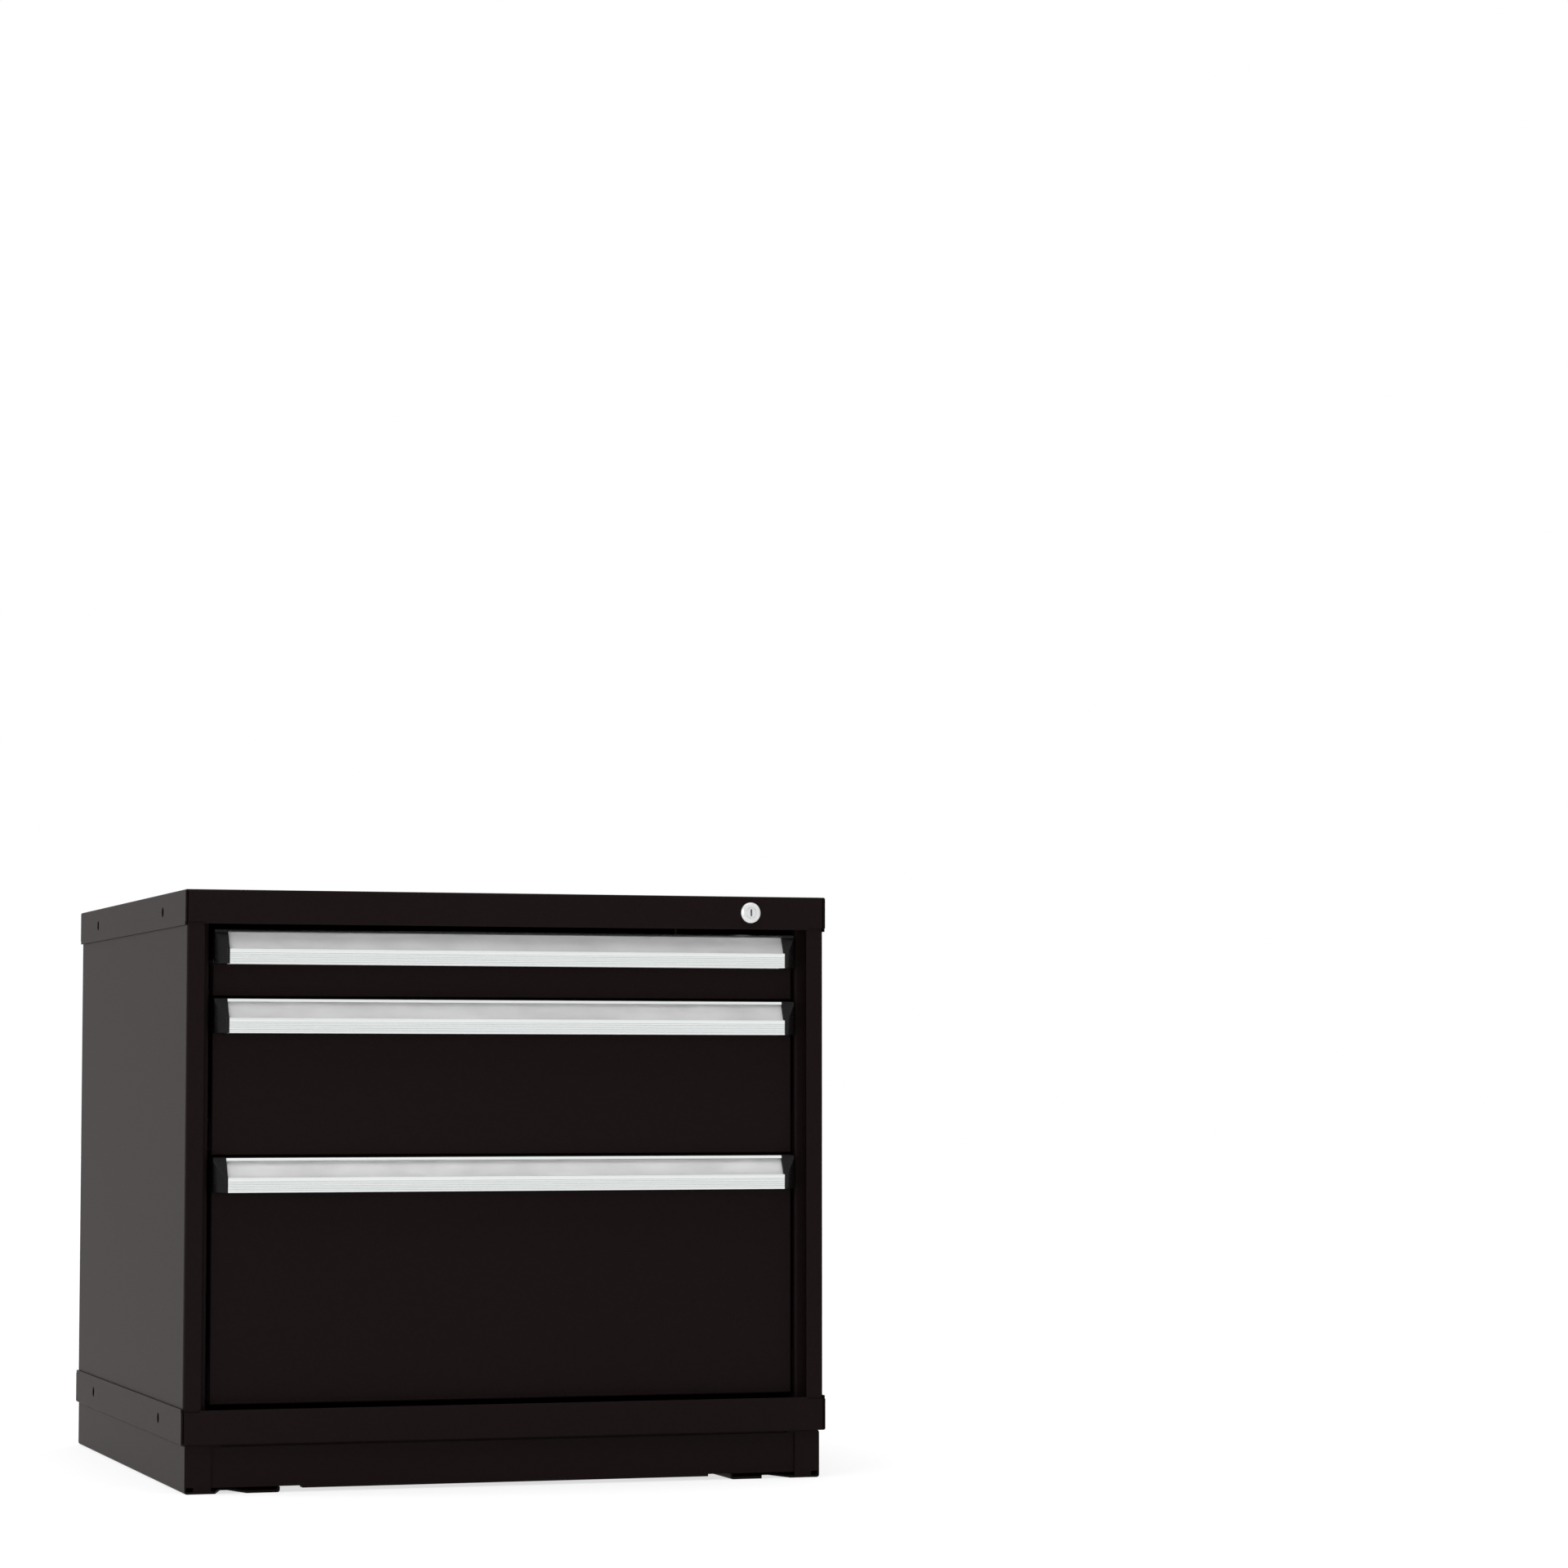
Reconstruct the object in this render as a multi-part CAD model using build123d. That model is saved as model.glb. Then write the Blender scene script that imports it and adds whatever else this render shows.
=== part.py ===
"""Heavy-duty steel drawer cabinet on a channel base, with three locking drawers.

Millimetres. X runs to the right, Y to the back and Z up, as seen from the front.
While the pieces are modelled, Y is measured from the front face of the two trays.
On export they move so that the origin is the bottom centre of the overall box.
"""
from build123d import *
from math import cos, hypot, pi, radians, sin
import os

# Housing: a bottom tray, a top cover of the same form, side panels and a back panel
cabinet_width = 762.0
tray_depth = 744.0
housing_height = 625.0
tray_sheet = 2.0
tray_bend = 2.2
lip_height = 40.5
front_lip_drop = 1.8
post_lip_drop = 4.0
corner_seam = 1.3
fit_gap = 0.3
side_sheet = 1.5
side_bend = 1.5
post_face = 20.3
rear_flange = 20.0
back_sheet = 1.5

# Uprights: folded channels behind the posts, which carry the cabinet rails
upright_sheet = 1.5
upright_width = 27.7
upright_depth = 42.0
upright_recess = 20.0

# Holes in the lips and panels, for bolting cabinets side by side
gang_hole_radius = 6.0
gang_front = 146.2
gang_spacing = 461.3
gang_rise = 21.2

# Base: two floor channels, closed by covers at the front and the rear
base_height = 55.0
base_sheet = 2.5
base_bend = 0.7
base_inset = 5.6
base_recess = 6.6
base_overhang = 12.0
base_flange = 30.1
base_top_flange = 40.0
base_floor_width = 109.0
base_turn_up = 15.0
base_notch_offset = 53.0
base_notch_mouth = 37.0
base_notch_root = 8.0
base_notch_depth = 44.0
base_slot_edge = 1.6
base_slot_width = 8.6
base_slot_height = 5.0
base_slot_rise = 2.5
base_cover_sheet = 1.5
base_cover_bottom = 6.7
base_cover_strip = 12.0
base_cover_lap = 22.0
base_cover_lip_half = 240.0
base_cover_lip_drop = 2.6
base_cover_return = 15.0
bolt_radius = 5.0
bolt_head_radius = 9.0
bolt_head_height = 6.0
bolt_clear = 0.5
bolt_from_ends = 110.0
bolt_from_side = 22.0

# Drawers: the two upper fronts have a set height, the bottom one fills the rest
upper_front_heights = (76.7, 178.5)
drawer_gap = 1.8
top_gap = 5.0
bottom_gap = 4.3
front_recess = 20.6
front_side_gap = 4.2
front_sheet = 1.5
front_bend = 1.8
front_pan_depth = 24.0
drawer_sheet = 1.2
drawer_bend = 1.4
drawer_wall_drop = 8.0
drawer_back_gap = 22.7
drawer_travel = 620.0

# Handle: an aluminium extrusion with a label seat, and a moulded cap at each end
handle_height = 40.3
handle_wall = 2.0
handle_lip_reach = 11.3
handle_lip_drop = 4.4
handle_lip_sheet = 1.5
grip_reach = 22.9
grip_top = 23.1
grip_wall = 2.5
grip_bead = 4.5
grip_rib_count = 7
grip_rib_pitch = 1.7
grip_rib_depth = 0.4
grip_rib_rise = 2.4
label_recess_top = 3.1
label_recess_bottom = 5.4
label_card_sheet = 0.4
label_cover_sheet = 0.8
end_cap_width = 15.2
end_cap_flat = 3.0
end_cap_edge_reach = 9.9

# Slides: two facing channels with a roller carriage between them
rail_sheet = 2.0
rail_bend = 0.8
rail_depth = 13.5
rail_rise = 5.0
rail_front = 46.0
rail_rear_gap = 13.7
slide_gap = 0.5
carriage_sheet = 2.0
carriage_height = 24.0
carriage_end = 14.0
roller_radius = 15.7
roller_width = 10.0
roller_clear = 0.3
roller_side_clear = 0.4
roller_edge = 1.0
axle_radius = 4.0
axle_clear = 0.06
axle_head_radius = 6.0
axle_head = 0.8
station_from_end = 24.0

# Lock: a cam lock in the cover's front lip lifts a bar that stops the drawers
lock_from_side = 93.0
lock_drop = 19.3
lock_proud = 5.0
bezel_radius = 12.3
bezel_face_radius = 9.6
bezel_edge = 2.0
barrel_radius = 9.0
barrel_length = 37.0
barrel_clear = 0.2
nut_across_flats = 25.0
nut_height = 6.0
plug_radius = 6.2
plug_clear = 0.08
plug_recess = 0.3
key_slot_width = 2.2
key_slot_height = 8.4
key_slot_depth = 12.0
cam_sheet = 3.0
cam_gap = 0.5
cam_radius = 10.0
cam_hub_radius = 8.0
cam_pin_radius = 3.0
cam_pin_play = 0.5
cam_turn = 90.0
lock_bar_sheet = 3.0
lock_bar_width = 16.0
lock_bar_front = 47.0
arm_clear = 1.2
arm_end = 6.0
tab_clear = 1.5
tab_height = 6.0
tab_reach = 9.5
lug_gap = 2.0
lug_sheet = 3.0
lug_height = 18.0
lug_side_gap = 3.5
guide_height = 12.0
guide_clear = 0.3
guide_back = 4.0

# Places that follow from the sizes above
half_width = cabinet_width / 2
cabinet_height = base_height + housing_height
tray_floor = base_height + tray_sheet
cover_ceiling = cabinet_height - tray_sheet
side_face = half_width - tray_sheet - fit_gap
side_inner = side_face - side_sheet
post_front = tray_sheet + fit_gap
post_edge = side_face - post_face
rear_face = tray_depth - tray_sheet - fit_gap
back_rear = rear_face - side_sheet
back_front = back_rear - back_sheet
upright_inner = side_inner - upright_width
rail_rear = back_front - rail_rear_gap
drawer_half = upright_inner - 2 * rail_depth - 2 * slide_gap - carriage_sheet
front_half = upright_inner - front_side_gap
front_back = front_recess + front_sheet
drawer_back = back_front - drawer_back_gap
rail_half_height = roller_radius + roller_clear + rail_sheet
base_side = half_width - base_inset
base_rear = tray_depth + base_overhang
lock_x = half_width - lock_from_side
lock_z = cabinet_height - lock_drop
cam_start = -cam_turn / 2
lock_lift = 2 * cam_radius * sin(radians(cam_turn / 2))
pin_rest_x = lock_x - cam_radius * cos(radians(cam_start))
pin_rest_z = lock_z + cam_radius * sin(radians(cam_start))
pin_far_x = lock_x - cam_radius
arm_half_height = lock_drop - tray_sheet - lock_lift / 2 - arm_clear
upright_top = pin_rest_z - arm_half_height - arm_clear
lock_bar_back = lock_bar_front + lock_bar_sheet
lug_front = lock_bar_back + lug_gap
tab_low = rail_half_height + tab_clear
lug_low = tab_low + tab_height + tab_clear
low_gang_z = base_height + gang_rise
high_gang_z = cabinet_height - gang_rise
depth_centre = (base_rear - lock_proud) / 2

opening_top = cabinet_height - lip_height + front_lip_drop
opening_bottom = base_height + lip_height - front_lip_drop
first_top = opening_top - top_gap
second_top = first_top - upper_front_heights[0] - drawer_gap
third_top = second_top - upper_front_heights[1] - drawer_gap
last_bottom = opening_bottom + bottom_gap
front_spans = (
    (first_top - upper_front_heights[0], first_top),
    (second_top - upper_front_heights[1], second_top),
    (last_bottom, third_top),
)

# Roller stations: the middle one stays in both channels when the drawer is right out
front_station = rail_front + station_from_end
middle_station = drawer_travel / 2 + (rail_front + drawer_back - drawer_travel) / 2
rear_station = rail_rear - station_from_end

nodes = {}


def block(x, y, z):
    """A box from low to high on each axis."""
    size = Box(x[1] - x[0], y[1] - y[0], z[1] - z[0])
    return Pos((x[0] + x[1]) / 2, (y[0] + y[1]) / 2, (z[0] + z[1]) / 2) * size


def mirrored(shape):
    """The same piece for the other side of the cabinet."""
    return mirror(shape, Plane.YZ)


def outline(points):
    return make_face(Polyline(*points, close=True))


def along_x(face, x):
    """A face drawn in Y and Z, run from one X to another."""
    return extrude(Plane.YZ.offset(x[0]) * face, x[1] - x[0])


def along_y(face, y):
    """A face drawn in X and Z, run from one Y to another."""
    plane = Plane((0, y[0], 0), x_dir=(1, 0, 0), z_dir=(0, -1, 0))
    return extrude(plane * face, -(y[1] - y[0]))


def along_z(face, z):
    """A face drawn in X and Y, run from one Z to another."""
    return extrude(Plane.XY.offset(z[0]) * face, z[1] - z[0])


def rod_x(radius, x, y, z):
    return along_x(Pos(y, z) * Circle(radius), x)


def rod_y(radius, x, y, z):
    return along_y(Pos(x, z) * Circle(radius), y)


def rod_z(radius, x, y, z):
    return along_z(Pos(x, y) * Circle(radius), z)


def folded(points, sheet, inner_bend):
    """The section of a folded sheet: one face runs along the points, its thickness lies to the left."""
    steps = [(b[0] - a[0], b[1] - a[1]) for a, b in zip(points, points[1:])]
    units = [(dx / hypot(dx, dy), dy / hypot(dx, dy)) for dx, dy in steps]
    normals = [(-dy, dx) for dx, dy in units]
    before = [normals[0]] + normals
    after = normals + [normals[-1]]
    other_face = []
    for point, n, m in zip(points, before, after):
        scale = sheet / (1 + n[0] * m[0] + n[1] * m[1])
        other_face.append((point[0] + scale * (n[0] + m[0]), point[1] + scale * (n[1] + m[1])))
    given_bends = []
    for a, b in zip(units, units[1:]):
        turns_left = a[0] * b[1] - a[1] * b[0] > 0
        given_bends.append(inner_bend + sheet if turns_left else inner_bend)
    other_bends = [2 * inner_bend + sheet - bend for bend in given_bends]
    given_line = FilletPolyline(*points, radius=given_bends)
    other_line = FilletPolyline(*other_face, radius=other_bends)
    start = Line(points[0], other_face[0])
    end = Line(points[-1], other_face[-1])
    return make_face([*given_line.edges(), *other_line.edges(), start, end])


def pan(x, y, z, sheet, bend, axis, closed_end):
    """A folded pan, open on one side: closed_end 0 closes the low end of the axis, -1 the high end."""
    outer = block(x, y, z)
    outer = fillet(outer.edges().group_by(axis)[closed_end], bend)
    low = [x[0] + sheet, y[0] + sheet, z[0] + sheet]
    high = [x[1] - sheet, y[1] - sheet, z[1] - sheet]
    index = 1 if axis == Axis.Y else 2
    reach = (y[1] - y[0]) if axis == Axis.Y else (z[1] - z[0])
    if closed_end == 0:
        high[index] += reach
    else:
        low[index] -= reach
    return outer - block((low[0], high[0]), (low[1], high[1]), (low[2], high[2]))


def group(shapes):
    """Separate solids kept together as one node."""
    return Part() + shapes


def both_sides(shape):
    """A left and a right copy as one group."""
    return group([mirrored(shape), shape])


def keep(name, shape):
    nodes[name] = shape


def gang_holes(z_rows):
    """Rods through both sides, where the holes for bolting cabinets together go."""
    rods = []
    for y in (gang_front, gang_front + gang_spacing):
        for z in z_rows:
            rods.append(rod_x(gang_hole_radius, (-half_width, half_width), y, z))
    return rods


def lipped_tray():
    """A tray with four lips: the side lips reach past the ends of the lower front and back lips."""
    top = base_height + lip_height
    tray = pan(
        (-half_width, half_width), (0, tray_depth), (base_height, top),
        tray_sheet, tray_bend, Axis.Z, 0)
    opening_z = top - front_lip_drop
    post_z = top - post_lip_drop
    step = post_lip_drop - front_lip_drop
    beyond = half_width + tray_sheet
    lip_edge = [
        (-beyond, post_z), (-post_edge - step, post_z), (-post_edge, opening_z),
        (post_edge, opening_z), (post_edge + step, post_z), (beyond, post_z),
        (beyond, top + tray_sheet), (-beyond, top + tray_sheet),
    ]
    tray -= along_y(outline(lip_edge), (-tray_sheet, tray_sheet))
    tray -= along_y(outline(lip_edge), (tray_depth - tray_sheet, tray_depth + tray_sheet))
    seam_outer = half_width - tray_sheet
    for side in (-1, 1):
        x = sorted((side * seam_outer, side * (seam_outer - corner_seam)))
        for y in (0, tray_depth - tray_sheet):
            tray -= block(x, (y, y + tray_sheet), (tray_floor, top))
    return tray


def bolt_places():
    """Centres of the bolts that hold the bottom tray to the base channels."""
    places = []
    for side in (-1, 1):
        for y in (bolt_from_ends, tray_depth - bolt_from_ends):
            places.append((side * (base_side - bolt_from_side), y))
    return places


def make_trays():
    floor_z = (base_height - tray_sheet, base_height + 2 * tray_sheet)
    bottom = lipped_tray() - gang_holes([low_gang_z])
    for x, y in bolt_places():
        bottom -= rod_z(bolt_radius + bolt_clear, x, y, floor_z)
    keep("bottom_tray", bottom)
    middle = Plane.XY.offset(base_height + housing_height / 2)
    cover = mirror(lipped_tray(), middle) - gang_holes([high_gang_z])
    cover -= rod_y(barrel_radius + barrel_clear, lock_x, (-tray_sheet, 2 * tray_sheet), lock_z)
    keep("top_cover", cover)


def make_panels():
    section = [
        (post_edge, post_front), (side_face, post_front),
        (side_face, rear_face), (side_face - rear_flange, rear_face),
    ]
    panel = along_z(folded(section, side_sheet, side_bend), (tray_floor, cover_ceiling))
    panel -= gang_holes([low_gang_z, high_gang_z])
    keep("right_side_panel", panel)
    keep("left_side_panel", mirrored(panel))
    back_half = side_inner - side_bend - fit_gap
    keep("back_panel", block((-back_half, back_half), (back_front, back_rear), (tray_floor, cover_ceiling)))


def upright(closed_y, open_y):
    """A channel standing against the side panel, closed towards one end of the cabinet."""
    section = [
        (side_inner, open_y), (side_inner, closed_y),
        (upright_inner, closed_y), (upright_inner, open_y),
    ]
    if closed_y > open_y:
        return along_z(folded(section, upright_sheet, side_bend), (tray_floor, upright_top))
    return along_z(folded(section[::-1], upright_sheet, side_bend), (tray_floor, upright_top))


def rail_centre(span):
    return span[0] + rail_rise + rail_half_height


def make_uprights():
    front = upright(upright_recess, upright_recess + upright_depth)
    rear = upright(back_front, back_front - upright_depth)
    keep("front_left_upright", mirrored(front))
    keep("rear_left_upright", mirrored(rear))
    keep("rear_right_upright", rear)
    slot_x = (upright_inner - upright_sheet, upright_inner + 2 * upright_sheet)
    slot_y = (lock_bar_front - tab_clear, lock_bar_back + tab_clear)
    for span in front_spans:
        z = rail_centre(span) + tab_low
        front -= block(slot_x, slot_y, (z - tab_clear, z + tab_height + lock_lift + tab_clear))
    keep("front_right_upright", front)


def floor_channel():
    """The right floor channel: a web, a top flange, end flanges and a floor flange with a turned-up edge."""
    length = (base_recess, base_rear)
    floor_edge = base_side - base_floor_width
    section = [
        (floor_edge, base_turn_up), (floor_edge, 0), (base_side, 0),
        (base_side, base_height), (base_side - base_top_flange, base_height),
    ]
    channel = along_y(folded(section, base_sheet, base_bend), length)
    end_x = (base_side - base_flange, base_side - base_sheet)
    for y in (base_recess, base_rear - base_sheet):
        channel += block(end_x, (y, y + base_sheet), (base_sheet, base_height - base_sheet))
        slot_x = (base_side - base_slot_edge - base_slot_width, base_side - base_slot_edge)
        slot_z = (base_slot_rise, base_slot_rise + base_slot_height)
        channel -= block(slot_x, (y - base_sheet, y + base_sheet), slot_z)
    cover_room = 2 * (base_sheet + base_cover_sheet)
    turn_up_x = (floor_edge - base_sheet, floor_edge + 2 * base_sheet)
    turn_up_z = (base_cover_bottom - fit_gap, base_turn_up + base_sheet)
    for y in (base_recess, base_rear - cover_room):
        channel -= block(turn_up_x, (y, y + cover_room), turn_up_z)
    notch_x = base_side - base_notch_offset
    for y, inward in ((base_recess, 1), (base_rear, -1)):
        notch = [
            (notch_x - base_notch_mouth / 2, y - inward * base_sheet),
            (notch_x + base_notch_mouth / 2, y - inward * base_sheet),
            (notch_x + base_notch_root / 2, y + inward * base_notch_depth),
            (notch_x - base_notch_root / 2, y + inward * base_notch_depth),
        ]
        channel -= along_z(outline(notch), (-base_sheet, 2 * base_sheet))
    flange_z = (base_height - 2 * base_sheet, base_height + base_sheet)
    for x, y in bolt_places():
        channel -= rod_z(bolt_radius + bolt_clear, x, y, flange_z)
    return channel


def base_cover(outer_y, inward):
    """A plate behind the channels' end flanges, with a strip up to the tray and a lip below its middle."""
    plate_half = base_side - base_flange + base_cover_lap
    plate_top = base_height - base_sheet - fit_gap
    plate_back = outer_y + inward * base_cover_sheet
    plate_y = sorted((outer_y, plate_back))
    strip_y = sorted((plate_back, plate_back + inward * base_cover_sheet))
    return_y = sorted((outer_y, outer_y + inward * base_cover_return))
    cover = block((-plate_half, plate_half), plate_y, (base_cover_bottom, plate_top))
    strip_half = base_side - base_top_flange - fit_gap
    strip_top = base_height - fit_gap
    cover += block((-strip_half, strip_half), strip_y, (strip_top - base_cover_strip, strip_top))
    lip_bottom = base_cover_bottom - base_cover_lip_drop
    lip_x = (-base_cover_lip_half, base_cover_lip_half)
    cover += block(lip_x, plate_y, (lip_bottom, base_cover_bottom))
    cover += block(lip_x, return_y, (lip_bottom, lip_bottom + base_cover_sheet))
    return cover


def base_bolt(x, y):
    """A bolt through the tray floor and the channel's top flange, with its head above and its nut below."""
    hexagon = Pos(x, y) * RegularPolygon(bolt_head_radius, 6)
    head_top = tray_floor + bolt_head_height
    nut_top = base_height - base_sheet
    nut_bottom = nut_top - bolt_head_height
    head = along_z(hexagon, (tray_floor, head_top))
    nut = along_z(hexagon, (nut_bottom, nut_top))
    return head + nut + rod_z(bolt_radius, x, y, (nut_bottom - bolt_radius, head_top))


def make_base():
    channel = floor_channel()
    keep("base_right_channel", channel)
    keep("base_left_channel", mirrored(channel))
    keep("base_front_cover", base_cover(base_recess + base_sheet, 1))
    keep("base_rear_cover", base_cover(base_rear - base_sheet, -1))
    keep("base_bolts", group([base_bolt(x, y) for x, y in bolt_places()]))


def label_seat(drop):
    """How far the label seat stands in front of the drawer's face, at a drop below the handle's top."""
    stack = label_card_sheet + label_cover_sheet
    upper = handle_lip_reach - label_recess_top - stack
    lower = grip_reach - label_recess_bottom - stack
    share = (drop - handle_lip_drop) / (grip_top - handle_lip_drop)
    return upper + share * (lower - upper)


def handle_section(top):
    """The extrusion's section in Y and Z: back wall, lip, label seat and ribbed grip."""

    def at(reach, drop):
        return (front_recess - reach, top - drop)

    ledge = grip_top + handle_wall
    grip_back = grip_reach - grip_wall
    seat_slope = (label_seat(grip_top) - label_seat(handle_lip_drop)) / (grip_top - handle_lip_drop)
    under_seat = handle_wall * hypot(1, seat_slope)
    ribs = []
    for rib in range(grip_rib_count):
        drop = handle_height - grip_rib_rise - (grip_rib_count - 1 - rib) * grip_rib_pitch
        quarter = grip_rib_pitch / 4
        ribs += [at(grip_reach, drop - quarter), at(grip_reach - grip_rib_depth, drop)]
        ribs += [at(grip_reach, drop + quarter)]
    return outline([
        at(0, 0), at(handle_lip_reach, 0), at(handle_lip_reach, handle_lip_drop),
        at(handle_lip_reach - handle_lip_sheet, handle_lip_drop),
        at(handle_lip_reach - handle_lip_sheet, handle_wall), at(label_seat(handle_wall), handle_wall),
        at(label_seat(grip_top), grip_top), at(grip_reach, grip_top), *ribs,
        at(grip_reach, handle_height), at(grip_reach - grip_bead, handle_height),
        at(grip_reach - grip_bead, handle_height - handle_wall), at(grip_back, handle_height - handle_wall),
        at(grip_back, ledge), at(label_seat(ledge) - under_seat, ledge),
        at(handle_wall, handle_lip_drop + handle_wall), at(handle_wall, handle_height),
        at(0, handle_height),
    ])


def label_layer(top, inner, outer):
    """The section of a strip that stands on the grip's ledge, between two heights above the label seat."""
    strip = []
    for reach, drop in ((inner, handle_wall), (outer, handle_wall), (outer, grip_top), (inner, grip_top)):
        strip.append((front_recess - label_seat(drop) - reach, top - drop))
    return outline(strip)


def end_cap(top):
    """The right end cap: the handle's outer form, cut away towards its outer edge."""
    inner_x = front_half - end_cap_width
    side = outline([
        (front_recess, top), (front_recess - handle_lip_reach, top),
        (front_recess - handle_lip_reach, top - handle_lip_drop),
        (front_recess - grip_reach, top - grip_top),
        (front_recess - grip_reach, top - handle_height), (front_recess, top - handle_height),
    ])
    plan = outline([
        (inner_x, front_recess), (inner_x, front_recess - grip_reach),
        (inner_x + end_cap_flat, front_recess - grip_reach),
        (front_half, front_recess - end_cap_edge_reach), (front_half, front_recess),
    ])
    return along_x(side, (inner_x, front_half)) & along_z(plan, (top - handle_height, top))


def rail(outer_x, inner_x, y, z):
    """A channel whose web is at outer_x and whose open side is at inner_x."""
    low = z - rail_half_height
    high = z + rail_half_height
    section = [(inner_x, low), (outer_x, low), (outer_x, high), (inner_x, high)]
    if outer_x > inner_x:
        return along_y(folded(section, rail_sheet, rail_bend), y)
    return along_y(folded(section[::-1], rail_sheet, rail_bend), y)


carriage_inner = drawer_half + rail_depth + slide_gap
carriage_outer = carriage_inner + carriage_sheet
roller_spans = {
    "outer": (carriage_outer + roller_side_clear, carriage_outer + roller_side_clear + roller_width),
    "inner": (carriage_inner - roller_side_clear - roller_width, carriage_inner - roller_side_clear),
}
stations = {
    "front": (front_station, ("inner",)),
    "middle": (middle_station, ("inner", "outer")),
    "rear": (rear_station, ("outer",)),
}


def axle(face, y, z):
    """A headed stub on one face of the carriage bar, on which a roller turns."""
    near, far = roller_spans[face]
    if face == "outer":
        end = far + roller_side_clear
        stub_x = (carriage_outer, end)
        head_x = (end, end + axle_head)
    else:
        end = near - roller_side_clear
        stub_x = (end, carriage_inner)
        head_x = (end - axle_head, end)
    return rod_x(axle_radius, stub_x, y, z) + rod_x(axle_head_radius, head_x, y, z)


def roller(face, y, z):
    wheel = rod_x(roller_radius, roller_spans[face], y, z)
    wheel = chamfer(wheel.edges().filter_by(GeomType.CIRCLE), roller_edge)
    return wheel - rod_x(axle_radius + axle_clear, roller_spans[face], y, z)


def make_slides(name, span):
    z = rail_centre(span)
    keep(name + "_cabinet_rails", both_sides(
        rail(upright_inner, upright_inner - rail_depth, (rail_front, rail_rear), z)))
    keep(name + "_runners", both_sides(
        rail(drawer_half, drawer_half + rail_depth, (rail_front, drawer_back), z)))
    bar_y = (front_station - carriage_end, rear_station + carriage_end)
    bar_z = (z - carriage_height / 2, z + carriage_height / 2)
    carriage = block((carriage_inner, carriage_outer), bar_y, bar_z)
    for place, (y, faces) in stations.items():
        rollers = []
        for face in faces:
            carriage += axle(face, y, z)
            rollers += [roller(face, y, z), mirrored(roller(face, y, z))]
        keep(f"{name}_{place}_rollers", group(rollers))
    keep(name + "_carriage_bars", both_sides(carriage))


def make_drawer(name, span):
    bottom, top = span
    front = pan(
        (-front_half, front_half), (front_recess, front_recess + front_pan_depth), span,
        front_sheet, front_bend, Axis.Y, 0)
    keep(name + "_front", front)
    wall_top = top - drawer_wall_drop
    tray = pan(
        (-drawer_half, drawer_half), (front_back, drawer_back), (bottom + front_sheet, wall_top),
        drawer_sheet, drawer_bend, Axis.Z, 0)
    lug_z = rail_centre(span) + lug_low
    lug_x = (drawer_half - drawer_sheet, upright_inner - lug_side_gap)
    tray += block(lug_x, (lug_front, lug_front + lug_sheet), (lug_z, lug_z + lug_height))
    keep(name + "_tray", tray)
    handle_half = front_half - end_cap_width
    handle_x = (-handle_half, handle_half)
    keep(name + "_handle", along_x(handle_section(top), handle_x))
    keep(name + "_label_card", along_x(label_layer(top, 0, label_card_sheet), handle_x))
    stack = label_card_sheet + label_cover_sheet
    keep(name + "_label_cover", along_x(label_layer(top, label_card_sheet, stack), handle_x))
    cap = end_cap(top)
    keep(name + "_right_end_cap", cap)
    keep(name + "_left_end_cap", mirrored(cap))


def make_lock():
    face_y = -lock_proud
    barrel = rod_y(barrel_radius, lock_x, (0, barrel_length), lock_z)
    bezel_profile = outline([
        (0, 0), (bezel_radius, 0), (bezel_radius, face_y + bezel_edge),
        (bezel_face_radius, face_y), (0, face_y),
    ])
    barrel += Pos(lock_x, 0, lock_z) * revolve(bezel_profile, Axis.Y)
    barrel -= rod_y(plug_radius + plug_clear, lock_x, (face_y, barrel_length), lock_z)
    keep("lock_barrel", barrel)

    nut_y = (tray_sheet, tray_sheet + nut_height)
    hexagon = RegularPolygon(nut_across_flats / 2, 6, major_radius=False)
    nut = along_y(Pos(lock_x, lock_z) * hexagon, nut_y)
    keep("lock_nut", nut - rod_y(barrel_radius + barrel_clear, lock_x, nut_y, lock_z))

    cam_front = barrel_length + cam_gap
    plug = rod_y(plug_radius, lock_x, (face_y + plug_recess, cam_front), lock_z)
    slot_x = (lock_x - key_slot_width / 2, lock_x + key_slot_width / 2)
    slot_z = (lock_z - key_slot_height / 2, lock_z + key_slot_height / 2)
    keep("lock_plug", plug - block(slot_x, (face_y, face_y + key_slot_depth), slot_z))

    cam_y = (cam_front, cam_front + cam_sheet)
    cam = rod_y(cam_hub_radius, lock_x, cam_y, lock_z)
    web_half = cam_pin_radius + cam_sheet
    cam += rod_y(web_half, pin_rest_x, cam_y, pin_rest_z)
    web = block((-cam_radius, 0), cam_y, (-web_half, web_half))
    cam += Pos(lock_x, 0, lock_z) * Rot(0, -cam_start, 0) * web
    cam += rod_y(cam_pin_radius, pin_rest_x, (cam_y[0], lock_bar_back + cam_sheet), pin_rest_z)
    keep("lock_cam", cam)


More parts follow.
